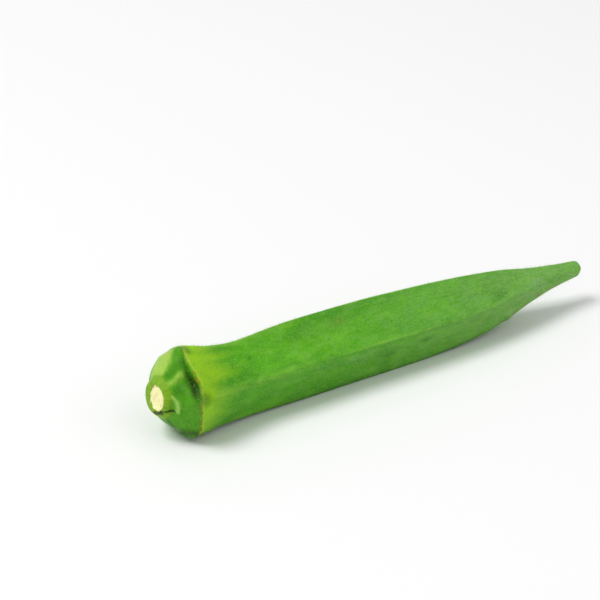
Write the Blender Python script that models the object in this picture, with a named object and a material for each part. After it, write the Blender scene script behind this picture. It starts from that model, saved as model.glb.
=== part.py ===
# Okra pod as picked: a short cut stem, a lobed cap, a body with five ridges and a blunt pointed tip.
# It grew in one piece, so it is one closed solid. It lies on one of its five flat sides.
# Metres, +Z up. The cut stem is at -X and the tip at +X, and the origin is the middle of the
# bounding box's underside.

import math

import bmesh
import bpy
from mathutils import Matrix, Vector

MM = 0.001

# Outline of the pod down its length: distance from the cut face and radius out to the ridges, in mm.
POD_LENGTH = 115.0
STEM_OUTLINE = [(0.0, 3.5), (0.6, 4.0), (1.3, 4.6)]
CAP_OUTLINE = [(2.4, 6.15), (4.0, 8.1), (5.6, 9.6), (7.2, 9.95)]
BODY_OUTLINE = [(9.6, 9.6), (14.0, 8.8), (21.0, 8.4), (36.0, 8.9), (52.0, 8.9), (64.5, 8.6), (75.0, 8.1)]
TIP_OUTLINE = [(83.0, 7.3), (91.5, 5.8), (99.0, 4.15), (105.0, 3.0), (110.0, 2.3), (115.0, 1.8)]
OUTLINE = STEM_OUTLINE + CAP_OUTLINE + BODY_OUTLINE + TIP_OUTLINE
TIP_ROUNDING = 1.8
CUT_EDGE_ROUNDING = 0.25

# The pod's middle line: its height over the surface that it lies on, and its slight sideways bow, in mm.
MIDDLE_HEIGHT = [(0.0, 10.0), (2.4, 9.5), (7.2, 9.05), (21.0, 7.55), (36.0, 7.45), (52.0, 7.32)]
MIDDLE_HEIGHT += [(64.5, 7.12), (75.0, 7.1), (83.0, 7.3), (91.5, 7.9), (99.0, 8.3), (105.0, 8.55)]
MIDDLE_HEIGHT += [(115.0, 8.75)]
BOW_TO_FRONT = -2.1
BOW_TO_TIP = 1.6

# The five ridges, as angles round the middle line: 0 faces -Y and 90 faces up.
RIDGES = [92.5, 17.0, -54.0, -126.0, 163.0]
RIDGE_SHARPNESS = 22.0
CAP_RIDGE_SHARE = 0.5
TIP_RIDGE_SHARE = 0.45
RIB_HEIGHT = 0.16
RIB_HALF_WIDTH = 0.75
RIB_STARTS = 15.0
RIB_ENDS = 102.0
RIB_FADE = 12.0
FACE_HOLLOW = 0.3

# The cap. A lobe swells on it in line with each ridge, and a valley runs down it between each two,
# deepest in a hollow just under the cap's edge: angle, half width in degrees, depth, hollow's depth in mm.
CAP_LOBE_HEIGHT = 0.3
CAP_LOBE_HALF_WIDTH = 24.0
CAP_VALLEYS = [(47.0, 32.0, 0.85, 0.9), (-18.0, 26.0, 0.25, 0.25), (-90.0, 26.0, 0.2, 0.2)]
CAP_VALLEYS += [(-162.0, 28.0, 0.5, 0.5), (127.0, 28.0, 0.15, 0.25)]
CAP_FOLD_ANGLE = 58.0
CAP_FOLD_HALF_WIDTH = 9.0
CAP_FOLD_HEIGHT = 0.65
STEM_CREASE_AT = 1.5
STEM_CREASE_DEPTH = 0.15
STEM_SCAR_ANGLE = 3.0
STEM_SCAR_HALF_WIDTH = 36.0
STEM_SCAR_DEPTH = 0.4
STEM_SCAR_LIP = 0.3

# The cap's edge: a grooved scar round the pod that waves to and fro, and a dimple where each ridge starts.
RIM_AT = 7.15
RIM_WAVE = 0.33
RIM_WAVES = 5
RIM_WAVE_ANGLE = 28.0
RIM_GROOVE_DEPTH = 0.3
RIM_GROOVE_HALF_WIDTH = 0.5
DIMPLE_AT = 8.7
DIMPLE_HALF_LENGTH = 1.7
DIMPLE_HALF_WIDTH = 9.0
DIMPLE_DEPTH = 0.5

# The cut face and the cap's edge each lean a little.
CUT_SLANT_UP = 0.14
CUT_SLANT_FRONT = 0.12
RIM_SLANT = -0.05

# How finely the surface is divided.
SIDES_PER_FACE = 12
RIDGE_CROWDING = 0.72
FINE_STEP = 0.36
STEP_GROWTH = 1.16
BODY_STEP = 2.6
TIP_STEP = 0.35
CUT_FACE_RINGS = [0.12, 0.45, 0.78]
FLAT_SNAP = 0.02


def smooth_step(value, start, end):
    """Runs from 0 at start to 1 at end, with no corner."""
    share = min(1.0, max(0.0, (value - start) / (end - start)))
    return share * share * (3.0 - 2.0 * share)


def hump(distance, half_width):
    """1 in the middle, 0 from half_width outwards."""
    if abs(distance) >= half_width:
        return 0.0
    return 0.5 + 0.5 * math.cos(math.pi * distance / half_width)


def turn_between(angle, other):
    """The signed turn from one angle to another, in degrees from -180 to 180."""
    return (angle - other + 180.0) % 360.0 - 180.0


def curve_slopes(points):
    """The slope at each point of a curve through them that never overshoots."""
    rises = [(after[1] - before[1]) / (after[0] - before[0]) for before, after in zip(points, points[1:])]
    inner = [2.0 * a * b / (a + b) if a * b > 0.0 else 0.0 for a, b in zip(rises, rises[1:])]
    return [rises[0]] + inner + [rises[-1]]


def curve_through(points):
    """A smooth function of distance that passes through every point."""
    slopes = curve_slopes(points)

    def value_at(distance):
        index = 0
        while index < len(points) - 2 and distance > points[index + 1][0]:
            index += 1
        (start, low), (end, high) = points[index], points[index + 1]
        span = end - start
        share = min(1.0, max(0.0, (distance - start) / span))
        square, cube = share * share, share ** 3
        ends = low * (2.0 * cube - 3.0 * square + 1.0) + high * (3.0 * square - 2.0 * cube)
        leaning = slopes[index] * (cube - 2.0 * square + share) + slopes[index + 1] * (cube - square)
        return ends + span * leaning

    return value_at


outline_radius = curve_through(OUTLINE)
middle_height = curve_through(MIDDLE_HEIGHT)


def plain_radius(distance):
    """The radius out to the ridges, with the tip and the edge of the cut face rounded over."""
    radius = outline_radius(distance)
    from_round_start = distance - (POD_LENGTH - TIP_ROUNDING)
    if from_round_start > 0.0:
        radius *= math.sqrt(max(0.0, 1.0 - (from_round_start / TIP_ROUNDING) ** 2))
    edge = max(0.0, 1.0 - distance / CUT_EDGE_ROUNDING)
    return radius - CUT_EDGE_ROUNDING * (1.0 - math.sqrt(1.0 - edge * edge))


def five_sided(angle):
    """A five-sided outline with rounded corners: 1 at the ridges, less along the flat sides."""
    total = 0.0
    for index, ridge in enumerate(RIDGES):
        next_ridge = RIDGES[(index + 1) % len(RIDGES)]
        half = (ridge - next_ridge) % 360.0 / 2.0
        towards = math.cos(math.radians(turn_between(angle, ridge - half)))
        total += max(1e-9, towards / math.cos(math.radians(half))) ** RIDGE_SHARPNESS
    return (total / 2.0) ** (-1.0 / RIDGE_SHARPNESS)


def ridge_share(distance):
    """How five-sided the pod is: round at the stem, softly lobed on the cap, full on the body."""
    share = 0.15 + (CAP_RIDGE_SHARE - 0.15) * smooth_step(distance, 1.0, 6.0)
    share += (1.0 - CAP_RIDGE_SHARE) * smooth_step(distance, 8.0, 26.0)
    return share - (1.0 - TIP_RIDGE_SHARE) * smooth_step(distance, 86.0, 106.0)


def stem_dents(distance, angle):
    """The crease under the foot of the stem, and a fallen leaf's scar at one side, with its raised lip."""
    under = 0.35 + 0.65 * hump(turn_between(angle, -60.0), 140.0)
    crease = STEM_CREASE_DEPTH * under * hump(distance - STEM_CREASE_AT, 0.8)
    scar = STEM_SCAR_DEPTH * hump(distance - STEM_CREASE_AT, 0.9)
    lip = STEM_SCAR_LIP * hump(distance - STEM_CREASE_AT - 0.9, 0.6)
    return crease + (scar - lip) * hump(turn_between(angle, STEM_SCAR_ANGLE), STEM_SCAR_HALF_WIDTH)


def cap_lobes(distance, angle):
    """How far the cap swells in line with the ridges, less the valleys between, one of which has a fold."""
    to_rim = 1.0 - smooth_step(distance, RIM_AT - 0.5, RIM_AT + 0.1)
    nearest = min(abs(turn_between(angle, ridge)) for ridge in RIDGES)
    lobe = CAP_LOBE_HEIGHT * hump(nearest, CAP_LOBE_HALF_WIDTH) * hump(distance - 4.0, 2.8)
    across_fold = hump(turn_between(angle, CAP_FOLD_ANGLE), CAP_FOLD_HALF_WIDTH)
    fold = CAP_FOLD_HEIGHT * across_fold * hump(distance - 3.2, 2.4)
    sunk = 0.0
    for middle, half, valley, hollow in CAP_VALLEYS:
        depth = valley * smooth_step(distance, 1.6, 5.0) + hollow * smooth_step(distance, 4.0, 6.4)
        sunk += depth * hump(turn_between(angle, middle), half)
    return lobe + fold - sunk * to_rim


def rim_dents(distance, angle):
    """The groove of the cap's edge, and the dimple behind it at each ridge."""
    groove = RIM_GROOVE_DEPTH * hump(distance - RIM_AT, RIM_GROOVE_HALF_WIDTH)
    nearest = min(abs(turn_between(angle, ridge)) for ridge in RIDGES)
    dimple = hump(distance - DIMPLE_AT, DIMPLE_HALF_LENGTH) * hump(nearest, DIMPLE_HALF_WIDTH)
    return groove + DIMPLE_DEPTH * dimple


def rib(distance, angle, radius):
    """The thin raised rib along the crest of each ridge."""
    fading = smooth_step(distance, RIB_STARTS, RIB_STARTS + RIB_FADE)
    fading *= 1.0 - smooth_step(distance, RIB_ENDS - RIB_FADE, RIB_ENDS)
    across = min(abs(math.radians(turn_between(angle, ridge))) for ridge in RIDGES) * radius
    return RIB_HEIGHT * fading * hump(across, RIB_HALF_WIDTH)


def face_hollow(distance, angle):
    """How far each of the body's flat sides sinks in between its two ridges."""
    fading = smooth_step(distance, 14.0, 34.0) * (1.0 - smooth_step(distance, 84.0, 104.0))
    nearest = min(abs(turn_between(angle, ridge)) for ridge in RIDGES)
    return FACE_HOLLOW * fading * smooth_step(nearest, 4.0, 34.0)


def skin_radius(distance, angle):
    """The distance from the middle line to the skin, in mm."""
    radius = plain_radius(distance)
    radius *= 1.0 - ridge_share(distance) * (1.0 - five_sided(angle))
    radius += rib(distance, angle, radius) - face_hollow(distance, angle)
    radius += cap_lobes(distance, angle)
    return radius - stem_dents(distance, angle) - rim_dents(distance, angle)


def ring_angle(around):
    """The angle of a point of a ring. around counts ridges: 0 is the first ridge, 1.5 is half way
    between the second and the third. The points crowd together near the ridges."""
    index = int(around) % len(RIDGES)
    share = around - int(around)
    share -= RIDGE_CROWDING * math.sin(2.0 * math.pi * share) / (2.0 * math.pi)
    turn = (RIDGES[index] - RIDGES[(index + 1) % len(RIDGES)]) % 360.0
    return RIDGES[index] - turn * share


def skin_point(station, around):
    """A point of the skin in metres. Stations under 0 are rings on the cut face, as minus the share
    of its radius that they are short of its edge."""
    angle = ring_angle(around)
    distance = max(0.0, station)
    radius = skin_radius(distance, angle) * min(1.0, 1.0 + station)
    wave = RIM_WAVE * math.cos(math.radians(RIM_WAVES * (angle - RIM_WAVE_ANGLE)))
    distance += wave * hump(station - RIM_AT, 4.0)
    front, up = math.cos(math.radians(angle)), math.sin(math.radians(angle))
    cut_lean = CUT_SLANT_UP * up + CUT_SLANT_FRONT * front
    cut_lean *= 1.0 - smooth_step(station, 0.0, 5.0)
    rim_lean = RIM_SLANT * smooth_step(station, 2.0, 6.0) * (1.0 - smooth_step(station, 9.0, 30.0))
    from_middle = 2.0 * distance / POD_LENGTH - 1.0
    bow = BOW_TO_FRONT * from_middle ** 2 + BOW_TO_TIP * from_middle ** 3
    x = distance - POD_LENGTH / 2.0 + radius * (rim_lean * front + cut_lean)
    return Vector((x, bow - radius * front, middle_height(distance) + radius * up)) * MM


def stations():
    """The rings from the cut face to the tip: close together on the cap and the tip, wider on the body."""
    found = [share - 1.0 for share in CUT_FACE_RINGS] + [0.0]
    step = FINE_STEP / 3.0
    while found[-1] + step < POD_LENGTH - TIP_ROUNDING:
        found.append(found[-1] + step)
        grown = step * STEP_GROWTH if found[-1] > RIM_AT + 1.2 else FINE_STEP
        to_tip = (POD_LENGTH - found[-1]) / 8.0
        step = max(TIP_STEP, min(grown, BODY_STEP, to_tip))
    for turn in (25.0, 45.0, 62.0, 76.0):
        found.append(POD_LENGTH - TIP_ROUNDING * (1.0 - math.sin(math.radians(turn))))
    return found


def closed_tube(mesh, rings):
    """A plain tube along X, closed at both ends, with one ring of points for each station. Its points
    keep their station in x and their place in the ring as an angle about X."""
    sides = SIDES_PER_FACE * len(RIDGES)
    facing_x = Matrix.Rotation(math.radians(90.0), 4, "Y")
    bmesh.ops.create_circle(mesh, cap_ends=True, segments=sides, radius=1.0, matrix=facing_x)
    bmesh.ops.translate(mesh, verts=mesh.verts[:], vec=(rings[0], 0.0, 0.0))
    start = mesh.faces[:]
    end = start
    for before, station in zip(rings, rings[1:]):
        grown = bmesh.ops.extrude_face_region(mesh, geom=end)["geom"]
        if end is not start:
            bmesh.ops.delete(mesh, geom=end, context="FACES_ONLY")
        end = [item for item in grown if isinstance(item, bmesh.types.BMFace)]
        bmesh.ops.translate(mesh, verts=end[0].verts[:], vec=(station - before, 0.0, 0.0))
    bmesh.ops.poke(mesh, faces=start + end)


def shape_skin(mesh):
    """Moves every point of the plain tube to its place on the pod."""
    for point in mesh.verts:
        off_axis = math.hypot(point.co.y, point.co.z)
        if off_axis < 0.5:
            station = point.co.x
            point.co = Vector((0.0, 0.0, 0.0))
            for index in range(len(RIDGES)):
                point.co += skin_point(station, index) / len(RIDGES)
            continue
        turned = math.atan2(point.co.z, point.co.y) / (2.0 * math.pi) % 1.0
        point.co = skin_point(point.co.x, turned * len(RIDGES))


def press_flat(mesh):
    """Cuts off what would sink below the surface that the pod lies on, and closes the flat spots."""
    everything = mesh.verts[:] + mesh.edges[:] + mesh.faces[:]
    snap = FLAT_SNAP * MM
    down = (0.0, 0.0, -1.0)
    bmesh.ops.bisect_plane(
        mesh, geom=everything, dist=snap, plane_co=(0.0, 0.0, 0.0), plane_no=down, clear_outer=True
    )
    for point in mesh.verts:
        if point.co.z < snap:
            point.co.z = 0.0
    open_edges = [edge for edge in mesh.edges if edge.is_boundary]
    bmesh.ops.holes_fill(mesh, edges=open_edges, sides=0)


def centre_on_underside(mesh):
    """Moves the pod so that the origin is the middle of its bounding box's underside."""
    low = Vector([min(point.co[axis] for point in mesh.verts) for axis in range(3)])
    high = Vector([max(point.co[axis] for point in mesh.verts) for axis in range(3)])
    middle = Vector(((low.x + high.x) / 2.0, (low.y + high.y) / 2.0, low.z))
    bmesh.ops.translate(mesh, verts=mesh.verts[:], vec=-middle)


def green_skin():
    material = bpy.data.materials.new("okra_skin")
    material.use_nodes = True
    shader = material.node_tree.nodes["Principled BSDF"]
    shader.inputs["Base Color"].default_value = (0.11, 0.36, 0.035, 1.0)
    shader.inputs["Roughness"].default_value = 0.5
    shader.inputs["Metallic"].default_value = 0.0
    return material


def make_pod():
    mesh = bmesh.new()
    closed_tube(mesh, stations())
    shape_skin(mesh)
    press_flat(mesh)
    centre_on_underside(mesh)
    bmesh.ops.triangulate(mesh, faces=mesh.faces[:])
    bmesh.ops.recalc_face_normals(mesh, faces=mesh.faces[:])
    data = bpy.data.meshes.new("okra_pod")
    mesh.to_mesh(data)
    mesh.free()
    data.shade_smooth()
    data.set_sharp_from_angle(angle=math.radians(40.0))
    data.materials.append(green_skin())
    pod = bpy.data.objects.new("okra_pod", data)
    bpy.context.scene.collection.objects.link(pod)
    return pod


for leftover in list(bpy.data.objects):
    bpy.data.objects.remove(leftover, do_unlink=True)
make_pod()
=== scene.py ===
# Okra pod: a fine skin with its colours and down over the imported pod, on a pale floor in soft light.
import functools
import math
import random

import bmesh
import bpy
from mathutils import Matrix, Vector, noise


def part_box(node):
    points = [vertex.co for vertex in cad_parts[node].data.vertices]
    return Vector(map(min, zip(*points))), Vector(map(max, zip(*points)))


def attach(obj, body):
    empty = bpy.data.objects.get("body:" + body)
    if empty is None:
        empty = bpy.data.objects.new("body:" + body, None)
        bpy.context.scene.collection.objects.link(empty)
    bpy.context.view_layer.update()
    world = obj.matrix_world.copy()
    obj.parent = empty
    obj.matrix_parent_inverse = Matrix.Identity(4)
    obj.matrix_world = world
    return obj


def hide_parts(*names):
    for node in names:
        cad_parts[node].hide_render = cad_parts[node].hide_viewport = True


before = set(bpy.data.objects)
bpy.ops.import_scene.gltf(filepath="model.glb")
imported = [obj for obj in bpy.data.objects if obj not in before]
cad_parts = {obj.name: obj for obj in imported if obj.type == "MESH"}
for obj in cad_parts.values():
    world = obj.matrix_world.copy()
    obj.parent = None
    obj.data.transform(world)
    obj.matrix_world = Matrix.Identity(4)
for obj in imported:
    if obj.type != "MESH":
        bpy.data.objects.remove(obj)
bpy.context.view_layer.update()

mm = 0.001

# The form of the pod: lengths in millimetres, angles in degrees round its middle line,
# where 0 faces the camera's side (-Y) and 90 faces up. Distances start at the cut face.
podForm = {
    "length": 115.0,
    "outline": [
        (0.0, 3.5), (0.6, 4.0), (1.3, 4.6),                                          # cut stem
        (2.4, 6.15), (4.0, 8.1), (5.6, 9.6), (7.2, 9.95),                            # cap
        (9.6, 9.6), (14.0, 8.8), (21.0, 8.4), (36.0, 8.9), (52.0, 8.9), (64.5, 8.6), (75.0, 8.1),
        (83.0, 7.3), (91.5, 5.8), (99.0, 4.15), (105.0, 3.0), (110.0, 2.3), (115.0, 1.8),
    ],
    "middleHeight": [
        (0.0, 10.0), (2.4, 9.5), (7.2, 9.05), (21.0, 7.55), (36.0, 7.45), (52.0, 7.32), (64.5, 7.12),
        (75.0, 7.1), (83.0, 7.3), (91.5, 7.9), (99.0, 8.3), (105.0, 8.55), (115.0, 8.75),
    ],
    "bow": (-2.1, 1.6),
    "tipRounding": 1.8,
    "cutRounding": 0.25,
    "ridges": [92.5, 17.0, -54.0, -126.0, 163.0],
    "ridgeSharpness": 22.0,
    "capRidgeShare": 0.5,
    "tipRidgeShare": 0.45,
    "ribHeight": 0.16,
    "ribHalfWidth": 0.75,
    "ribRun": (15.0, 102.0),
    "faceHollow": 0.3,
    "cutSlantUp": 0.14,
    "cutSlantFront": 0.12,
    "rimSlant": -0.05,
}

capForm = {
    "lobeHeight": 0.3,
    "lobeHalfWidth": 24.0,
    "valleys": [                     # angle, half width, depth, extra depth just under the cap's edge
        (47.0, 32.0, 0.85, 0.9), (-18.0, 26.0, 0.25, 0.25), (-90.0, 26.0, 0.2, 0.2),
        (-162.0, 28.0, 0.5, 0.5), (127.0, 28.0, 0.15, 0.25),
    ],
    "foldAngle": 58.0,
    "foldHalfWidth": 9.0,
    "foldHeight": 0.65,
    "creaseAt": 1.5,
    "creaseDepth": 0.15,
    "leafScarAngle": 3.0,
    "leafScarHalfWidth": 36.0,
    "leafScarDepth": 0.4,
    "leafScarLip": 0.3,
    "rimAt": 7.15,
    "rimWave": 0.33,
    "rimWaves": 5,
    "rimWaveAngle": 28.0,
    "rimGrooveDepth": 0.3,
    "rimGrooveHalfWidth": 0.5,
    "dimpleAt": 8.7,
    "dimpleHalfLength": 1.7,
    "dimpleHalfWidth": 9.0,
    "dimpleDepth": 0.5,
}


def smoothStep(value, start, end):
    share = min(1.0, max(0.0, (value - start) / (end - start)))
    return share * share * (3.0 - 2.0 * share)


def hump(distance, halfWidth):
    if abs(distance) >= halfWidth:
        return 0.0
    return 0.5 + 0.5 * math.cos(math.pi * distance / halfWidth)


def turnBetween(angle, other):
    return (angle - other + 180.0) % 360.0 - 180.0


def curveThrough(points):
    # a smooth curve through every point that never overshoots
    rises = [(after[1] - before[1]) / (after[0] - before[0]) for before, after in zip(points, points[1:])]
    inner = [2.0 * a * b / (a + b) if a * b > 0.0 else 0.0 for a, b in zip(rises, rises[1:])]
    slopes = [rises[0]] + inner + [rises[-1]]

    def valueAt(distance):
        index = 0
        while index < len(points) - 2 and distance > points[index + 1][0]:
            index += 1
        (start, low), (end, high) = points[index], points[index + 1]
        span = end - start
        share = min(1.0, max(0.0, (distance - start) / span))
        square, cube = share * share, share ** 3
        ends = low * (2.0 * cube - 3.0 * square + 1.0) + high * (3.0 * square - 2.0 * cube)
        leaning = slopes[index] * (cube - 2.0 * square + share) + slopes[index + 1] * (cube - square)
        return ends + span * leaning

    return valueAt


outlineRadius = curveThrough(podForm["outline"])
middleHeight = curveThrough(podForm["middleHeight"])


@functools.cache
def nearestRidge(angle):
    return min(abs(turnBetween(angle, ridge)) for ridge in podForm["ridges"])


@functools.cache
def plainRadius(distance):
    radius = outlineRadius(distance)
    intoTip = distance - (podForm["length"] - podForm["tipRounding"])
    if intoTip > 0.0:
        radius *= math.sqrt(max(0.0, 1.0 - (intoTip / podForm["tipRounding"]) ** 2))
    edge = max(0.0, 1.0 - distance / podForm["cutRounding"])
    return radius - podForm["cutRounding"] * (1.0 - math.sqrt(1.0 - edge * edge))


@functools.cache
def fiveSided(angle):
    ridges, sharpness = podForm["ridges"], podForm["ridgeSharpness"]
    total = 0.0
    for index, ridge in enumerate(ridges):
        half = (ridge - ridges[(index + 1) % len(ridges)]) % 360.0 / 2.0
        towards = math.cos(math.radians(turnBetween(angle, ridge - half)))
        total += max(1e-9, towards / math.cos(math.radians(half))) ** sharpness
    return (total / 2.0) ** (-1.0 / sharpness)


@functools.cache
def ridgeShare(distance):
    capShare, tipShare = podForm["capRidgeShare"], podForm["tipRidgeShare"]
    share = 0.15 + (capShare - 0.15) * smoothStep(distance, 1.0, 6.0)
    share += (1.0 - capShare) * smoothStep(distance, 8.0, 26.0)
    return share - (1.0 - tipShare) * smoothStep(distance, 86.0, 106.0)


def stemDents(distance, angle):
    under = 0.35 + 0.65 * hump(turnBetween(angle, -60.0), 140.0)
    crease = capForm["creaseDepth"] * under * hump(distance - capForm["creaseAt"], 0.8)
    scar = capForm["leafScarDepth"] * hump(distance - capForm["creaseAt"], 0.9)
    lip = capForm["leafScarLip"] * hump(distance - capForm["creaseAt"] - 0.9, 0.6)
    across = hump(turnBetween(angle, capForm["leafScarAngle"]), capForm["leafScarHalfWidth"])
    return crease + (scar - lip) * across


def valleyDepth(distance, angle):
    sunk = 0.0
    for middle, half, valley, hollow in capForm["valleys"]:
        depth = valley * smoothStep(distance, 1.6, 5.0) + hollow * smoothStep(distance, 4.0, 6.4)
        sunk += depth * hump(turnBetween(angle, middle), half)
    return sunk * (1.0 - smoothStep(distance, capForm["rimAt"] - 0.5, capForm["rimAt"] + 0.1))


def foldHeight(distance, angle):
    across = hump(turnBetween(angle, capForm["foldAngle"]), capForm["foldHalfWidth"])
    return capForm["foldHeight"] * across * hump(distance - 3.2, 2.4)


def lobeHeight(distance, angle):
    return capForm["lobeHeight"] * hump(nearestRidge(angle), capForm["lobeHalfWidth"]) * hump(distance - 4.0, 2.8)


def dimpleShare(distance, angle):
    along = hump(distance - capForm["dimpleAt"], capForm["dimpleHalfLength"])
    return along * hump(nearestRidge(angle), capForm["dimpleHalfWidth"])


def rimDents(distance, angle):
    groove = capForm["rimGrooveDepth"] * hump(distance - capForm["rimAt"], capForm["rimGrooveHalfWidth"])
    return groove + capForm["dimpleDepth"] * dimpleShare(distance, angle)


@functools.cache
def ribFading(distance):
    start, end = podForm["ribRun"]
    return smoothStep(distance, start, start + 12.0) * (1.0 - smoothStep(distance, end - 12.0, end))


def ribHeight(distance, angle, radius):
    across = math.radians(nearestRidge(angle)) * radius
    return podForm["ribHeight"] * ribFading(distance) * hump(across, podForm["ribHalfWidth"])


def sideHollow(distance, angle):
    fading = smoothStep(distance, 14.0, 34.0) * (1.0 - smoothStep(distance, 84.0, 104.0))
    return podForm["faceHollow"] * fading * smoothStep(nearestRidge(angle), 4.0, 34.0)


def skinRadius(distance, angle):
    radius = plainRadius(distance)
    radius *= 1.0 - ridgeShare(distance) * (1.0 - fiveSided(angle))
    radius += ribHeight(distance, angle, radius) - sideHollow(distance, angle)
    radius += lobeHeight(distance, angle) + foldHeight(distance, angle) - valleyDepth(distance, angle)
    return radius - stemDents(distance, angle) - rimDents(distance, angle)


def flowPlace(distance, angle):
    # a place that follows the skin, for patterns that run down the pod with no seam
    turn = math.radians(angle)
    return Vector((math.cos(turn), math.sin(turn), distance / 10.0))


# What the skin has beyond the pod's form. Heights in millimetres.
skinDetail = {
    "sidesPerFace": 40,
    "ridgeCrowding": 0.6,
    "cutRings": [0.06, 0.18, 0.3, 0.4, 0.48, 0.54, 0.6, 0.66, 0.72, 0.77, 0.82, 0.87, 0.92, 0.96],
    "capStep": 0.11,
    "capEnds": 13.0,
    "bodyStep": 0.36,
    "stepGrowth": 1.05,
    "wrinkleHeight": 0.06,
    "unevenHeight": 0.13,
    "rippleHeight": 0.02,
    "scarCrust": 0.15,
    "stemStreaks": 0.09,
    "pithFibres": 0.06,
    "pithSunk": 0.12,
    "swelling": (91.3, -50.0, 1.8, 26.0, 0.3),                # distance, angle, half sizes, height
    "crackDepth": 0.4,
    "crackHalfWidth": 0.26,
    "underRimDepth": 0.45,
    "underRimHalfWidth": 1.0,
    "rimShifts": [(13.0, 26.0, -0.55), (80.0, 18.0, -0.35), (-38.0, 22.0, -0.3)],   # angle, half width, shift
}


# Lines drawn on the cap, as distances and angles, with the radius of the skin there.
capLines = {
    "toLipHighlight": ([(1.4, 26.0), (1.8, 17.0), (2.0, 9.0), (2.1, 0.0), (2.1, -11.0)], 4.6),
    "toCrack": ([(0.0, -88.0), (0.05, -59.0), (0.15, -34.0), (0.8, -22.0), (1.7, -13.0)], 4.2),
    "toFold": ([(0.6, 67.0), (1.7, 58.0), (2.6, 56.0), (3.4, 57.0), (4.9, 58.0)], 7.0),
    "toValley": ([(6.0, 72.0), (4.1, 73.0), (2.3, 75.0), (1.2, 82.0)], 7.5),
    "toHollow": ([(6.9, 74.0), (7.05, 60.0), (6.9, 46.0), (6.6, 34.0), (6.1, 24.0)], 9.0),
    "toLowReflection": ([(0.5, -68.0), (1.6, -66.0), (2.4, -62.0), (3.2, -53.0)], 6.0),
    "toLowShade": ([(3.0, -58.0), (4.2, -47.0), (5.5, -41.0), (7.0, -45.0)], 8.5),
}


def lineDistance(distance, angle, line, radius):
    # how far a place on the skin is from a line drawn on it, in millimetres
    here = Vector((distance, math.radians(angle) * radius))
    found = 1e9
    for start, end in zip(line, line[1:]):
        a = Vector((start[0], math.radians(start[1]) * radius))
        b = Vector((end[0], math.radians(end[1]) * radius))
        share = min(1.0, max(0.0, (here - a).dot(b - a) / (b - a).length_squared))
        found = min(found, (here - a.lerp(b, share)).length)
    return found


def rimShift(angle):
    return sum(shift * hump(turnBetween(angle, at), half) for at, half, shift in skinDetail["rimShifts"])


def fineRelief(station, distance, angle, radius):
    flow = flowPlace(distance, angle)
    onCap = smoothStep(distance, 1.2, 2.5) * (1.0 - smoothStep(distance, 6.4, 7.4))
    onBody = smoothStep(distance, 8.0, 14.0) * (1.0 - smoothStep(distance, 108.0, 114.0))
    onStem = 1.0 - smoothStep(distance, 0.9, 2.0)
    relief = onCap * skinDetail["wrinkleHeight"] * noise.noise(Vector((flow.x * 8.0, flow.y * 8.0, flow.z * 3.0)))
    relief += onBody * skinDetail["unevenHeight"] * noise.noise(Vector((flow.x * 1.5, flow.y * 1.5, flow.z * 0.7)))
    relief += onBody * skinDetail["rippleHeight"] * noise.noise(Vector((flow.x * 11.0, flow.y * 11.0, flow.z * 0.9)))
    if station >= 0.0:
        grooves = noise.noise(Vector((flow.x * 7.0, flow.y * 7.0, flow.z * 5.0)))
        relief += onStem * skinDetail["stemStreaks"] * grooves
    crust = hump(distance - capForm["rimAt"] + 0.05, 0.34) * max(0.0, 0.5 + 1.2 * noise.noise(flow * 9.0))
    relief += skinDetail["scarCrust"] * crust
    at, towards, halfLength, halfTurn, height = skinDetail["swelling"]
    relief += height * hump(distance - at, halfLength) * hump(turnBetween(angle, towards), halfTurn)
    if -0.05 < station < 2.5:
        toCrack = lineDistance(distance, turnBetween(angle, 0.0), *capLines["toCrack"])
        relief -= skinDetail["crackDepth"] * hump(toCrack, skinDetail["crackHalfWidth"])
    if 4.0 < station < 7.1:
        toHollow = lineDistance(distance, turnBetween(angle, 0.0), *capLines["toHollow"])
        relief -= skinDetail["underRimDepth"] * hump(toHollow, skinDetail["underRimHalfWidth"])
    return relief


def ringAngle(around):
    ridges = podForm["ridges"]
    index = int(around) % len(ridges)
    share = around - int(around)
    share -= skinDetail["ridgeCrowding"] * math.sin(2.0 * math.pi * share) / (2.0 * math.pi)
    return ridges[index] - (ridges[index] - ridges[(index + 1) % len(ridges)]) % 360.0 * share


def skinPoint(station, angle, lift=0.0):
    # stations under 0 are rings on the cut face, as minus the share of the radius still to go
    distance = max(0.0, station)
    radius = skinRadius(distance, angle)
    radius = (radius + fineRelief(station, distance, angle, radius) + lift) * min(1.0, 1.0 + station)
    wave = math.cos(math.radians(capForm["rimWaves"] * (angle - capForm["rimWaveAngle"])))
    place = distance + (capForm["rimWave"] * wave + rimShift(angle)) * hump(station - capForm["rimAt"], 4.0)
    front, up = math.cos(math.radians(angle)), math.sin(math.radians(angle))
    cutLean = podForm["cutSlantUp"] * up + podForm["cutSlantFront"] * front
    cutLean *= 1.0 - smoothStep(station, 0.0, 5.0)
    rimLean = podForm["rimSlant"] * smoothStep(station, 2.0, 6.0) * (1.0 - smoothStep(station, 9.0, 30.0))
    fromMiddle = 2.0 * place / podForm["length"] - 1.0
    bowFront, bowTip = podForm["bow"]
    x = place - podForm["length"] / 2.0 + radius * (rimLean * front + cutLean)
    if station < 0.0:
        grain = noise.noise(Vector((radius * front * 2.2, radius * up * 0.7, 3.0)))
        x -= skinDetail["pithFibres"] * grain
        x += skinDetail["pithSunk"] * smoothStep(pithReach(station, angle), 0.0, 0.5)
    y = bowFront * fromMiddle ** 2 + bowTip * fromMiddle ** 3 - radius * front
    return Vector((x, y, middleHeight(place) + radius * up)) * mm


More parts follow.
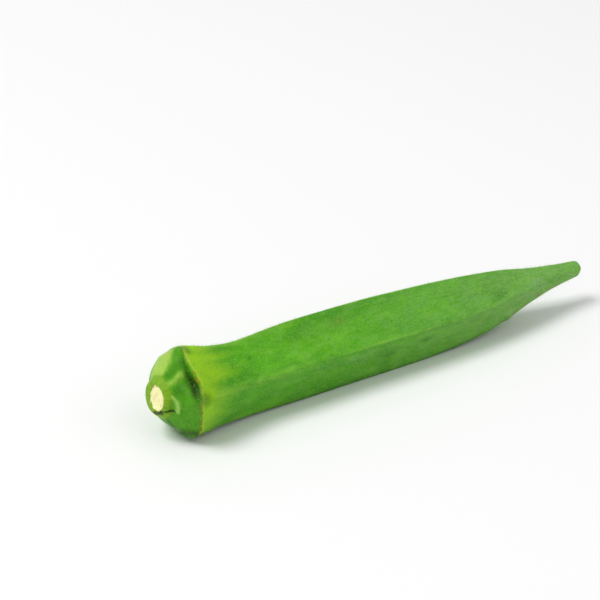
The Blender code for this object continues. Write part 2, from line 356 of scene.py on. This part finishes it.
def ringStations():
    found = [share - 1.0 for share in skinDetail["cutRings"]] + [0.0]
    step = skinDetail["capStep"] / 2.0
    roundStart = podForm["length"] - podForm["tipRounding"]
    while found[-1] + step < roundStart:
        found.append(found[-1] + step)
        step = skinDetail["capStep"] if found[-1] < skinDetail["capEnds"] else step * skinDetail["stepGrowth"]
        step = min(step, skinDetail["bodyStep"], 0.06 + (podForm["length"] - found[-1]) / 12.0)
    for turn in range(8, 88, 8):
        found.append(podForm["length"] - podForm["tipRounding"] * (1.0 - math.sin(math.radians(turn))))
    return found


def closedTube(mesh, rings):
    # a plain tube along X with a ring of points at each station, closed at both ends
    sides = skinDetail["sidesPerFace"] * len(podForm["ridges"])
    facingX = Matrix.Rotation(math.radians(90.0), 4, "Y")
    bmesh.ops.create_circle(mesh, cap_ends=True, segments=sides, radius=1.0, matrix=facingX)
    bmesh.ops.translate(mesh, verts=mesh.verts[:], vec=(rings[0], 0.0, 0.0))
    start = mesh.faces[:]
    end = start
    for before, station in zip(rings, rings[1:]):
        grown = bmesh.ops.extrude_face_region(mesh, geom=end)["geom"]
        if end is not start:
            bmesh.ops.delete(mesh, geom=end, context="FACES_ONLY")
        end = [item for item in grown if isinstance(item, bmesh.types.BMFace)]
        bmesh.ops.translate(mesh, verts=end[0].verts[:], vec=(station - before, 0.0, 0.0))
    bmesh.ops.poke(mesh, faces=start + end)


# Soft patches of colour: distance, angle, half length, half angle, strength.
softPatches = {
    # deep and shade: painted shade in the cap's valleys and hollows
    "deepShade": [(6.4, 127.0, 0.8, 18.0, 0.3), (6.4, -162.0, 0.8, 20.0, 0.5)],
    "shade": [
        (2.8, 36.0, 3.0, 21.0, 1.0), (5.2, 42.0, 1.8, 14.0, 0.5), (4.4, -162.0, 2.6, 22.0, 0.7),
        (5.6, -95.0, 1.6, 16.0, 0.7),
    ],
    "dim": [
        (55.9, -16.0, 2.6, 10.0, 1.0), (65.3, -7.0, 3.4, 10.0, 1.0), (87.5, 40.0, 6.5, 36.0, 0.8),
        (60.0, -35.0, 26.0, 26.0, 0.35), (66.0, 150.0, 9.0, 24.0, 0.4), (47.0, -125.0, 8.0, 26.0, 0.4),
    ],
    "fresh": [
        (40.0, 50.0, 13.0, 40.0, 0.9), (71.0, 46.0, 7.0, 34.0, 0.8), (30.0, 135.0, 12.0, 34.0, 0.7),
        (74.0, -150.0, 10.0, 36.0, 0.7), (52.0, 110.0, 8.0, 20.0, 0.5),
    ],
    "bloom": [
        (98.0, 20.0, 8.5, 70.0, 0.9), (97.0, -130.0, 9.0, 60.0, 0.8), (78.0, 52.0, 5.0, 26.0, 0.5),
        (46.0, 4.0, 9.0, 14.0, 0.6), (31.0, -12.0, 7.0, 14.0, 0.5), (60.0, -90.0, 14.0, 26.0, 0.4),
    ],
    "scuff": [
        (100.4, -30.0, 1.8, 18.0, 0.9), (96.7, -44.0, 1.6, 14.0, 0.9), (93.0, -56.0, 1.6, 14.0, 0.9),
        (104.5, -32.0, 2.2, 20.0, 0.5), (45.0, 72.0, 3.6, 12.0, 0.35), (72.0, 160.0, 3.0, 14.0, 0.35),
    ],
}
# How clearly the painted highlight along each ridge's crest, and the painted shade under it, show.
crestHighlightShows = [0.2, 1.0, 0.1, 0.4, 0.35]


def patch(distance, angle, spots):
    found = 0.0
    for at, towards, halfLength, halfTurn, strength in spots:
        if abs(distance - at) < halfLength:
            found += strength * hump(distance - at, halfLength) * hump(turnBetween(angle, towards), halfTurn)
    return min(1.0, found)


def pithReach(station, angle):
    # how far inside the pale pith's outline a place on the cut face is, in millimetres
    radius = outlineRadius(0.0) * (1.0 + station)
    front, up = radius * math.cos(math.radians(angle)), radius * math.sin(math.radians(angle))
    return 2.6 * (1.0 - math.hypot((front - 0.75) / 2.55, (up - 0.25) / 2.95))


def paleLobeAndHighlight(distance, angle):
    # the pale lobe high on the cap, partly its own paler skin and partly a painted highlight, with a clear edge
    # towards the camera's side
    edge = 83.0 + 2.2 * (distance - 3.1) ** 2
    across = smoothStep(angle, edge - 4.0, edge + 10.0) * (1.0 - smoothStep(angle, 138.0, 165.0))
    return across * smoothStep(distance, 0.8, 1.7) * (1.0 - smoothStep(distance, 5.2, 6.8))


def notchShadeShare(distance, angle):
    # painted shade in the notch behind the cap's edge at each ridge, where the skin dips: wide at the edge and
    # pointed behind
    fromRim = distance - capForm["rimAt"]
    if not -0.2 < fromRim < 3.4:
        return 0.0
    width = 13.0 * (1.0 - fromRim / 3.4) * (1.0 + 0.9 * noise.noise(flowPlace(distance, angle) * 5.0))
    leaning = min(abs(turnBetween(angle, ridge - 1.0 - 1.5 * fromRim)) for ridge in podForm["ridges"])
    reach = smoothStep(fromRim, -0.2, 0.2) * (1.0 - smoothStep(fromRim, 1.0, 3.4))
    return reach * (1.0 - smoothStep(leaning, 0.3 * width, 1.2 * width + 4.0))


def collarShare(distance, angle, ragged):
    # the yellow-green zone behind the cap's edge, longest on top, with long tongues down the pod
    flow = flowPlace(distance, angle)
    tongues = noise.noise(Vector((flow.x * 5.0, flow.y * 5.0, flow.z * 0.8)))
    tongues *= 1.0 - 0.8 * hump(turnBetween(angle, 47.0), 22.0)
    ends = 11.8 + 1.5 * hump(turnBetween(angle, 75.0), 70.0) + 2.6 * hump(turnBetween(angle, 45.0), 24.0)
    ends += 1.2 * ragged + 4.5 * tongues
    fading = 1.0 - smoothStep(distance, ends - 4.5, ends + 5.0)
    fading *= 1.0 - 0.25 * hump(turnBetween(angle, -32.0), 45.0)
    return fading * smoothStep(distance, capForm["rimAt"] - 0.1, capForm["rimAt"] + 0.4)


def skinMarks(station, angle):
    # where each colour of the skin lies, as shares from 0 to 1 or as distances in millimetres
    distance = max(0.0, station)
    turned = turnBetween(angle, 0.0)
    flow = flowPlace(distance, angle)
    ragged = 0.5 * noise.noise(flow * 3.0) + 0.3 * noise.noise(flow * 8.0)
    ridge = min(podForm["ridges"], key=lambda crest: abs(turnBetween(angle, crest)))
    shows = crestHighlightShows[podForm["ridges"].index(ridge)]
    shows *= smoothStep(distance, 30.0, 56.0) * (1.0 - smoothStep(distance, 82.0, 95.0))
    shows *= 1.0 - 0.35 * smoothStep(distance, 56.0, 66.0)
    marks = {
        "station": distance,
        "across": math.radians(turnBetween(angle, ridge)) * outlineRadius(distance),
        "crestHighlightShows": shows,
        "softCrestHighlight": smoothStep(distance, 9.5, 13.0) * (1.0 - smoothStep(distance, 26.0, 44.0)),
        "collar": collarShare(distance, angle, ragged),
        "cap": 1.0 - smoothStep(distance, capForm["rimAt"] - 0.3, capForm["rimAt"] + 0.05),
        "paleLobeAndHighlight": paleLobeAndHighlight(distance, turned),
        "notchShade": notchShadeShare(distance, angle),
        "stem": 1.0 - smoothStep(distance + 0.25 * ragged, 0.9, 1.9),
        "pith": pithReach(station, angle) if station < 0.0 else -1.0,
        "lowEdgeShade": hump(turnBetween(angle, -58.0), 14.0),
    }
    for name, spots in softPatches.items():
        marks[name] = patch(distance, angle, spots)
    marks["underRim"] = hump(turnBetween(angle, 36.0), 44.0)
    for name, (line, radius) in capLines.items():
        onCap = -0.05 <= station < 8.0
        marks[name] = min(9.0, lineDistance(distance, turned, line, radius)) if onCap else 9.0
    return marks


def buildSkin():
    print("skin: rings and points")
    mesh = bmesh.new()
    closedTube(mesh, ringStations())
    marks, flows = [], []
    sides = len(podForm["ridges"])
    for point in mesh.verts:
        station = point.co.x
        if math.hypot(point.co.y, point.co.z) < 0.5:      # the middle of an end
            ends = [skinPoint(station, ridge) for ridge in podForm["ridges"]]
            point.co = sum(ends, Vector()) / len(ends)
            angle = 0.0
            station = -1.0 if station < 0.0 else station
        else:
            turned = math.atan2(point.co.z, point.co.y) / (2.0 * math.pi) % 1.0
            angle = turnBetween(ringAngle(turned * sides), 0.0)
            point.co = skinPoint(station, angle)
        marks.append(skinMarks(station, angle))
        flows.append(flowPlace(max(0.0, station), angle))
    low = Vector([min(point.co[axis] for point in mesh.verts) for axis in range(3)])
    high = Vector([max(point.co[axis] for point in mesh.verts) for axis in range(3)])
    podLow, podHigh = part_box("okra_pod")
    shift = (podLow + podHigh - low - high) / 2.0
    shift.z = 0.0
    bmesh.ops.translate(mesh, verts=mesh.verts[:], vec=shift)
    for point in mesh.verts:                              # pressed flat where its weight rests
        point.co.z = max(point.co.z, 0.0)
    bmesh.ops.recalc_face_normals(mesh, faces=mesh.faces[:])
    data = bpy.data.meshes.new("podSkin")
    mesh.to_mesh(data)
    mesh.free()
    for name in marks[0]:
        layer = data.attributes.new(name, "FLOAT", "POINT")
        layer.data.foreach_set("value", [mark[name] for mark in marks])
    layer = data.attributes.new("flow", "FLOAT_VECTOR", "POINT")
    layer.data.foreach_set("vector", [value for flow in flows for value in flow])
    data.shade_smooth()
    skin = bpy.data.objects.new("podSkin", data)
    bpy.context.scene.collection.objects.link(skin)
    print("skin:", len(data.polygons), "faces")
    return skin, shift


# Short helpers for material nodes. A value that is a socket is linked, any other is set.
def feed(tree, socket, value):
    if isinstance(value, bpy.types.NodeSocket):
        tree.links.new(value, socket)
    else:
        socket.default_value = value


def addNode(tree, kind, settings, inputs):
    made = tree.nodes.new(kind)
    for name, value in settings.items():
        setattr(made, name, value)
    for name, value in inputs.items():
        feed(tree, made.inputs[name], value)
    return made


def mark(tree, name):
    return addNode(tree, "ShaderNodeAttribute", {"attribute_name": name}, {}).outputs["Fac"]


def mixColour(tree, share, first, second):
    made = tree.nodes.new("ShaderNodeMix")
    made.data_type = "RGBA"
    feed(tree, made.inputs[0], share)
    feed(tree, made.inputs[6], first)
    feed(tree, made.inputs[7], second)
    return made.outputs[2]


def combine(tree, operation, first, second):
    return addNode(tree, "ShaderNodeMath", {"operation": operation}, {0: first, 1: second}).outputs[0]


def fade(tree, value, start, end, low=0.0, high=1.0):
    inputs = {"Value": value, "From Min": start, "From Max": end, "To Min": low, "To Max": high}
    return addNode(tree, "ShaderNodeMapRange", {"interpolation_type": "SMOOTHSTEP"}, inputs).outputs["Result"]


def stretched(tree, vector, scale):
    return addNode(tree, "ShaderNodeMapping", {}, {"Vector": vector, "Scale": scale}).outputs["Vector"]


def grain(tree, vector, scale, detail=2.0, roughness=0.5):
    inputs = {"Vector": vector, "Scale": scale, "Detail": detail, "Roughness": roughness}
    return addNode(tree, "ShaderNodeTexNoise", {}, inputs).outputs["Fac"]


def paint(red, green, blue):
    # screen values from 0 to 255, as a linear colour
    channels = [value / 255.0 for value in (red, green, blue)]
    return tuple(((c + 0.055) / 1.055) ** 2.4 if c > 0.04045 else c / 12.92 for c in channels) + (1.0,)


def newMaterial(name):
    material = bpy.data.materials.new(name)
    material.use_nodes = True
    return material, material.node_tree, material.node_tree.nodes["Principled BSDF"]


def band(tree, value, centre, half, soft):
    # 1 within half of the centre, fading to 0 over soft
    offset = combine(tree, "ABSOLUTE", combine(tree, "SUBTRACT", value, centre), 0.0)
    return fade(tree, offset, half, half + soft, 1.0, 0.0)


def layOver(tree, colour, share, strength, over):
    return mixColour(tree, combine(tree, "MULTIPLY", share, strength), colour, over)


def nearLine(tree, name, sway, half, reach):
    # 1 within half a millimetre's share of a line on the cap, fading to 0 at its reach
    return fade(tree, combine(tree, "ADD", mark(tree, name), sway), half, reach, 1.0, 0.0)


skinColours = {
    "body": paint(84, 168, 14),
    "bodyDark": paint(66, 146, 14),
    "bodyLight": paint(112, 184, 44),
    "fresh": paint(110, 188, 22),
    "tip": paint(116, 168, 82),
    "tipVein": paint(158, 198, 128),
    "speckPale": paint(150, 196, 96),
    "speckDark": paint(40, 100, 14),
    # pale green for the painted highlight along the crests, also the down's tint
    "crest": paint(142, 196, 70),
    "collar": paint(148, 201, 20),
    "notchShade": paint(80, 136, 0),
    "cap": paint(72, 144, 4),
    # pale green for the lobe's own paler skin and for painted highlights on the cap
    "capPaleAndHighlight": paint(172, 206, 82),
    # darker greens for painted shade on the cap
    "capShade": paint(52, 116, 0),
    "capDeepShade": paint(32, 62, 0),
    "rimScar": paint(122, 76, 14),
    "rimOrange": paint(186, 140, 40),
    "rimEdge": paint(172, 196, 74),
    "stem": paint(138, 182, 36),
    "bark": paint(88, 142, 12),
    "pith": paint(243, 242, 178),
    "pithStreak": paint(206, 168, 100),
    "pithRim": paint(128, 108, 30),
    "lip": paint(176, 212, 110),
    "crackShade": paint(24, 44, 4),
    "lowReflection": paint(156, 192, 118),
    "scuff": paint(136, 122, 72),
    "bloom": paint(132, 176, 110),
    "edgeShade": paint(24, 78, 8),
}


def bodyColour(tree, place, flow, station):
    # broad patches, streaks down its length, mottling, and a greyer tip with pale veins
    colours = skinColours
    broad = grain(tree, stretched(tree, place, (60.0, 170.0, 170.0)), 1.0, 3.0, 0.55)
    streaks = grain(tree, stretched(tree, flow, (13.0, 13.0, 0.55)), 1.6, 4.0, 0.62)
    clouds = grain(tree, stretched(tree, place, (210.0, 380.0, 380.0)), 1.0, 2.0, 0.5)
    mottle = grain(tree, stretched(tree, place, (520.0, 800.0, 800.0)), 1.0, 3.0, 0.65)
    colour = mixColour(tree, fade(tree, broad, 0.36, 0.6), colours["bodyDark"], colours["body"])
    colour = layOver(tree, colour, fade(tree, station, 34.0, 104.0), 0.85, colours["tip"])
    colour = layOver(tree, colour, fade(tree, streaks, 0.48, 0.76), 0.42, colours["bodyLight"])
    colour = layOver(tree, colour, fade(tree, streaks, 0.48, 0.28), 0.4, colours["bodyDark"])
    colour = layOver(tree, colour, fade(tree, clouds, 0.5, 0.7), 0.4, colours["bodyLight"])
    colour = layOver(tree, colour, fade(tree, clouds, 0.5, 0.3), 0.35, colours["bodyDark"])
    colour = layOver(tree, colour, fade(tree, mottle, 0.5, 0.72), 0.45, colours["bodyLight"])
    colour = layOver(tree, colour, fade(tree, mottle, 0.5, 0.3), 0.35, colours["bodyDark"])
    cells = {"Vector": stretched(tree, flow, (1.6, 1.6, 1.8)), "Scale": 1.7}
    veins = addNode(tree, "ShaderNodeTexVoronoi", {"feature": "DISTANCE_TO_EDGE"}, cells).outputs["Distance"]
    veinShare = combine(tree, "MULTIPLY", fade(tree, veins, 0.0, 0.045, 1.0, 0.0), fade(tree, station, 84.0, 94.0))
    colour = layOver(tree, colour, veinShare, 0.45, colours["tipVein"])
    dull = grain(tree, stretched(tree, place, (330.0, 520.0, 520.0)), 1.0, 4.0, 0.7)
    bloomShare = combine(tree, "ADD", combine(tree, "MULTIPLY", mark(tree, "bloom"), 0.75), 0.25)
    bloomShare = combine(tree, "MULTIPLY", bloomShare, fade(tree, station, 14.0, 40.0))
    colour = layOver(tree, colour, mark(tree, "fresh"), fade(tree, dull, 0.35, 0.65, 0.25, 0.6), colours["fresh"])
    colour = layOver(tree, colour, bloomShare, fade(tree, dull, 0.42, 0.64, 0.0, 0.65), colours["bloom"])
    colour = layOver(tree, colour, mark(tree, "dim"), fade(tree, dull, 0.35, 0.6, 0.75, 0.2), colours["speckDark"])
    return colour, streaks, mottle


def skinMaterial():
    material, tree, shader = newMaterial("okraSkin")
    colours = skinColours
    place = addNode(tree, "ShaderNodeTexCoord", {}, {}).outputs["Object"]
    flow = addNode(tree, "ShaderNodeAttribute", {"attribute_name": "flow"}, {}).outputs["Vector"]
    station = mark(tree, "station")
    body, streaks, mottle = bodyColour(tree, place, flow, station)
    fine = grain(tree, place, 1500.0, 2.0, 0.5)
    dots = grain(tree, place, 1700.0, 1.0, 0.4)
    darkDots = grain(tree, place, 1150.0, 1.0, 0.4)

    # the yellow-green collar, painted shade in the notches behind it, and a painted highlight along each crest with
    # painted shade under it
    colour = mixColour(
        tree, combine(tree, "MULTIPLY", mark(tree, "collar"), fade(tree, mottle, 0.25, 0.65, 0.8, 1.0)),
        body, colours["collar"]
    )
    # painted shade in the dip where each ridge starts behind the cap's edge
    colour = layOver(tree, colour, mark(tree, "notchShade"), fade(tree, mottle, 0.3, 0.6, 1.0, 0.7), colours["notchShade"])
    across = mark(tree, "across")
    # a soft painted highlight along the ridges just behind the cap
    softCrestHighlight = combine(tree, "MULTIPLY", band(tree, across, 0.1, 0.2, 1.3), mark(tree, "softCrestHighlight"))
    colour = layOver(tree, colour, softCrestHighlight, fade(tree, mottle, 0.3, 0.6, 0.15, 0.4), colours["crest"])
    # painted highlight: a thin pale line along each crest
    crest = combine(tree, "MULTIPLY", band(tree, across, 0.0, 0.06, 0.26), mark(tree, "crestHighlightShows"))
    # painted shade: a darker band just under each crest line
    under = combine(tree, "MULTIPLY", band(tree, across, -0.75, 0.2, 0.5), mark(tree, "crestHighlightShows"))
    colour = layOver(tree, colour, crest, fade(tree, mottle, 0.3, 0.6, 0.2, 0.6), colours["crest"])
    colour = layOver(tree, colour, under, 0.35, colours["bodyDark"])

    # the cap: painted shade in its hollows and valleys, its pale lobe with a painted highlight, a painted highlight
    # on the fold's crest, and painted shade and a painted reflection low down
    wander = grain(tree, place, 900.0, 2.0, 0.6)
    sway = fade(tree, wander, 0.3, 0.7, -0.12, 0.12)
    slightSway = fade(tree, wander, 0.3, 0.7, -0.04, 0.04)
    capColour = mixColour(tree, fade(tree, mottle, 0.35, 0.7, 0.0, 0.5), colours["cap"], colours["body"])
    # painted shade below the fold and in the valley beside the pale lobe
    capColour = layOver(tree, capColour, mark(tree, "shade"), 0.8, colours["capShade"])
    capColour = layOver(tree, capColour, nearLine(tree, "toValley", sway, 0.1, 1.2), 0.45, colours["capShade"])
    # the pale lobe: partly its own paler skin, partly a painted highlight
    lobeShare = fade(tree, mottle, 0.3, 0.7, 0.65, 0.88)
    capColour = layOver(tree, capColour, mark(tree, "paleLobeAndHighlight"), lobeShare, colours["capPaleAndHighlight"])
    # painted highlight along the fold's crest
    capColour = layOver(tree, capColour, nearLine(tree, "toFold", sway, -0.1, 1.2), 0.6, colours["capPaleAndHighlight"])
    # painted shade in the deep valleys, in the hollow under the cap's edge and in the band low down
    capColour = layOver(tree, capColour, mark(tree, "deepShade"), 0.9, colours["capDeepShade"])
    hollow = nearLine(tree, "toHollow", sway, 0.4, 2.1)
    capColour = layOver(tree, capColour, hollow, mark(tree, "underRim"), colours["capDeepShade"])
    capColour = layOver(tree, capColour, nearLine(tree, "toLowShade", sway, 0.2, 1.5), 0.8, colours["capDeepShade"])
    # a painted reflection of the pale floor along the crest of the lowest lobe
    capColour = layOver(tree, capColour, nearLine(tree, "toLowReflection", sway, 0.15, 0.6), 0.65, colours["lowReflection"])
    colour = mixColour(tree, mark(tree, "cap"), colour, capColour)

    # the dry scar along the cap's edge, broken in places, and the light edge behind it
    fromRim = combine(tree, "ADD", station, fade(tree, wander, 0.3, 0.7, -0.12, 0.12))
    broken = grain(tree, place, 330.0, 2.0, 0.5)
    colour = layOver(tree, colour, band(tree, fromRim, 7.6, 0.1, 0.35), 0.3, colours["rimEdge"])
    scar = mixColour(tree, fade(tree, wander, 0.45, 0.7), colours["rimScar"], colours["rimOrange"])
    scarShare = fade(tree, broken, 0.36, 0.56, 0.3, 0.85)
    colour = layOver(tree, colour, band(tree, fromRim, 7.3, 0.02, 0.24), scarShare, scar)

    # painted shade along the lower edge, then dots all over, fewer near the cap
    colour = layOver(tree, colour, mark(tree, "lowEdgeShade"), 0.7, colours["edgeShade"])
    dotted = fade(tree, station, 4.0, 24.0, 0.6, 1.0)
    colour = layOver(tree, colour, fade(tree, fine, 0.52, 0.75, 0.0, 0.38), dotted, colours["bodyLight"])
    colour = layOver(tree, colour, fade(tree, fine, 0.48, 0.27, 0.0, 0.35), dotted, colours["bodyDark"])
    colour = layOver(tree, colour, fade(tree, dots, 0.68, 0.78, 0.0, 0.3), dotted, colours["speckPale"])
    colour = layOver(tree, colour, fade(tree, darkDots, 0.68, 0.78, 0.0, 0.4), dotted, colours["speckDark"])
    colour = layOver(tree, colour, mark(tree, "scuff"), fade(tree, mottle, 0.35, 0.6, 0.2, 0.9), colours["scuff"])

    # the cut stem: bark, pith, a painted highlight on the lip of a leaf's scar, and a crack with painted shade in it
    bark = mixColour(tree, fade(tree, streaks, 0.2, 0.75), colours["bark"], colours["stem"])
    colour = mixColour(tree, mark(tree, "stem"), colour, bark)
    # painted highlight along the lip of a leaf's scar
    colour = layOver(tree, colour, nearLine(tree, "toLipHighlight", slightSway, -0.05, 0.42), 0.6, colours["lip"])
    fibre = grain(tree, stretched(tree, place, (500.0, 2400.0, 520.0)), 1.0, 3.0, 0.6)
    pith = mixColour(tree, fade(tree, fibre, 0.48, 0.7, 0.0, 0.75), colours["pith"], colours["pithStreak"])
    pithEdge = combine(tree, "ADD", mark(tree, "pith"), fade(tree, fibre, 0.3, 0.7, -0.3, 0.3))
    colour = layOver(tree, colour, band(tree, pithEdge, -0.1, 0.05, 0.2), 0.5, colours["pithRim"])
    colour = mixColour(tree, fade(tree, pithEdge, -0.05, 0.15), colour, pith)
    # painted shade in the crack, which the skin's relief also cuts in
    colour = layOver(tree, colour, nearLine(tree, "toCrack", sway, 0.1, 0.32), 0.9, colours["crackShade"])
    feed(tree, shader.inputs["Base Color"], colour)

    feed(tree, shader.inputs["Roughness"], fade(tree, mottle, 0.3, 0.7, 0.48, 0.6))
    shader.inputs["Specular IOR Level"].default_value = 0.18
    shader.inputs["Subsurface Weight"].default_value = 0.1
    shader.inputs["Subsurface Radius"].default_value = (0.6, 1.0, 0.2)
    shader.inputs["Subsurface Scale"].default_value = 0.001
    shader.inputs["Sheen Weight"].default_value = 0.03
    shader.inputs["Sheen Roughness"].default_value = 0.45

    height = combine(tree, "MULTIPLY", streaks, 0.6)
    height = combine(tree, "ADD", height, combine(tree, "MULTIPLY", mottle, 0.5))
    height = combine(tree, "ADD", height, combine(tree, "MULTIPLY", fade(tree, fine, 0.4, 0.78), 0.35))
    bump = addNode(tree, "ShaderNodeBump", {}, {"Strength": 0.35, "Distance": 0.00025, "Height": height})
    feed(tree, shader.inputs["Normal"], bump.outputs["Normal"])
    return material


# The pod's down: short fine hairs, leaning towards the tip. Lengths in millimetres.
downDetail = {
    "seed": 7,
    "count": 14000,
    "batches": 140,
    "length": (0.3, 0.75),
    "radius": 0.018,
    "lean": 0.55,
    "lowest": 0.7,
    "nearCap": 0.4,
    "colour": paint(186, 214, 136),
}


def downMaterial():
    material, tree, shader = newMaterial("okraDown")
    place = addNode(tree, "ShaderNodeTexCoord", {}, {}).outputs["Object"]
    tint = grain(tree, place, 300.0, 2.0, 0.5)
    feed(tree, shader.inputs["Base Color"], mixColour(tree, tint, downDetail["colour"], skinColours["crest"]))
    shader.inputs["Roughness"].default_value = 0.5
    shader.inputs["Subsurface Weight"].default_value = 0.3
    shader.inputs["Subsurface Scale"].default_value = 0.0003
    return material


def addHairs(mesh, draw, count, shift):
    made = 0
    while made < count:
        station = draw.uniform(1.8, podForm["length"] - 1.0)
        angle = draw.uniform(-180.0, 180.0)
        nearCap = downDetail["nearCap"] * (1.0 - smoothStep(station, 8.0, 30.0))
        if draw.random() > outlineRadius(station) / 10.0 - nearCap:
            continue
        root = skinPoint(station, angle) + shift
        if root.z < downDetail["lowest"] * mm:
            continue
        along = skinPoint(station + 0.2, angle) + shift - root
        across = skinPoint(station, angle + 1.5) + shift - root
        outward = across.cross(along).normalized()
        if outward.dot(skinPoint(station, angle, 1.0) + shift - root) < 0.0:
            outward.negate()
        lean = along.normalized() * draw.uniform(0.2, 1.0) * downDetail["lean"]
        lean += across.normalized() * draw.uniform(-0.4, 0.4)
        direction = (outward + lean).normalized()
        length = draw.uniform(*downDetail["length"]) * mm
        middle = root + direction * (length * 0.44)
        matrix = Matrix.Translation(middle) @ direction.to_track_quat("Z", "Y").to_matrix().to_4x4()
        radius = downDetail["radius"] * mm
        bmesh.ops.create_cone(
            mesh, cap_ends=True, segments=3, radius1=radius, radius2=0.0, depth=length, matrix=matrix
        )
        made += 1
    bmesh.ops.recalc_face_normals(mesh, faces=mesh.faces[:])


def buildDown(shift):
    print("down: hairs")
    draw = random.Random(downDetail["seed"])
    batch = bpy.data.meshes.new("downBatch")
    whole = bmesh.new()
    for turn in range(downDetail["batches"]):            # small batches are far quicker to make
        mesh = bmesh.new()
        addHairs(mesh, draw, downDetail["count"] // downDetail["batches"], shift)
        mesh.to_mesh(batch)
        mesh.free()
        whole.from_mesh(batch)
    bpy.data.meshes.remove(batch)
    data = bpy.data.meshes.new("podDown")
    whole.to_mesh(data)
    whole.free()
    data.materials.append(downMaterial())
    down = bpy.data.objects.new("podDown", data)
    bpy.context.scene.collection.objects.link(down)
    print("down:", len(data.polygons), "faces")
    return down


studio = {
    "floorColour": (0.92, 0.92, 0.92, 1.0),
    "floorSize": 6.0,
    "floorDrop": 0.00005,
    "skyColour": (1.0, 1.0, 1.0, 1.0),
    "skyStrength": 0.5,
    "keyPlace": (-1.0, 0.3, 1.7),
    "keySize": 0.9,
    "keyPower": 26.0,
    "fillPlace": (1.0, -1.4, 1.4),
    "fillSize": 1.8,
    "fillPower": 5.5,
}


def aimed(place, target):
    return (Vector(place) - Vector(target)).to_track_quat("Z", "Y").to_euler()


def buildStudio():
    print("studio: floor and lights")
    scene = bpy.context.scene
    mesh = bmesh.new()
    bmesh.ops.create_grid(mesh, x_segments=1, y_segments=1, size=studio["floorSize"] / 2.0)
    bmesh.ops.translate(mesh, verts=mesh.verts[:], vec=(0.0, 0.0, -studio["floorDrop"]))
    data = bpy.data.meshes.new("floor")
    mesh.to_mesh(data)
    mesh.free()
    material, tree, shader = newMaterial("paleFloor")
    shader.inputs["Base Color"].default_value = studio["floorColour"]
    shader.inputs["Roughness"].default_value = 0.7
    data.materials.append(material)
    floor = bpy.data.objects.new("floor", data)
    scene.collection.objects.link(floor)

    world = bpy.data.worlds.new("softRoom")
    world.use_nodes = True
    background = world.node_tree.nodes["Background"]
    background.inputs["Color"].default_value = studio["skyColour"]
    background.inputs["Strength"].default_value = studio["skyStrength"]
    scene.world = world
    for name in ("key", "fill"):
        light = bpy.data.lights.new(name, "AREA")
        light.size = studio[name + "Size"]
        light.energy = studio[name + "Power"]
        lamp = bpy.data.objects.new(name, light)
        lamp.location = studio[name + "Place"]
        lamp.rotation_euler = aimed(studio[name + "Place"], (0.0, 0.0, 0.0))
        scene.collection.objects.link(lamp)
    scene.view_settings.view_transform = "Standard"


# The photo's view: the camera looks at a point near the middle of the pod's height.
cameraView = {
    "target": (-0.02126, 0.0, 0.02188),
    "azimuth": -32.05,
    "elevation": 26.97,
    "distance": 0.34773,
    "lens": 99.0,
}


def buildCamera():
    print("camera")
    turn, rise = math.radians(cameraView["azimuth"]), math.radians(cameraView["elevation"])
    back = Vector((math.sin(turn) * math.cos(rise), -math.cos(turn) * math.cos(rise), math.sin(rise)))
    data = bpy.data.cameras.new("photoView")
    data.lens = cameraView["lens"]
    data.sensor_width = 36.0
    data.clip_start = 0.01
    data.clip_end = 20.0
    camera = bpy.data.objects.new("photoView", data)
    camera.location = Vector(cameraView["target"]) + back * cameraView["distance"]
    camera.rotation_euler = back.to_track_quat("Z", "Y").to_euler()
    bpy.context.scene.collection.objects.link(camera)
    bpy.context.scene.camera = camera


buildCamera()
buildStudio()

podSkin, skinShift = buildSkin()
podSkin.data.materials.append(skinMaterial())
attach(podSkin, "root")
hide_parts("okra_pod")

podDown = buildDown(skinShift)
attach(podDown, "root")
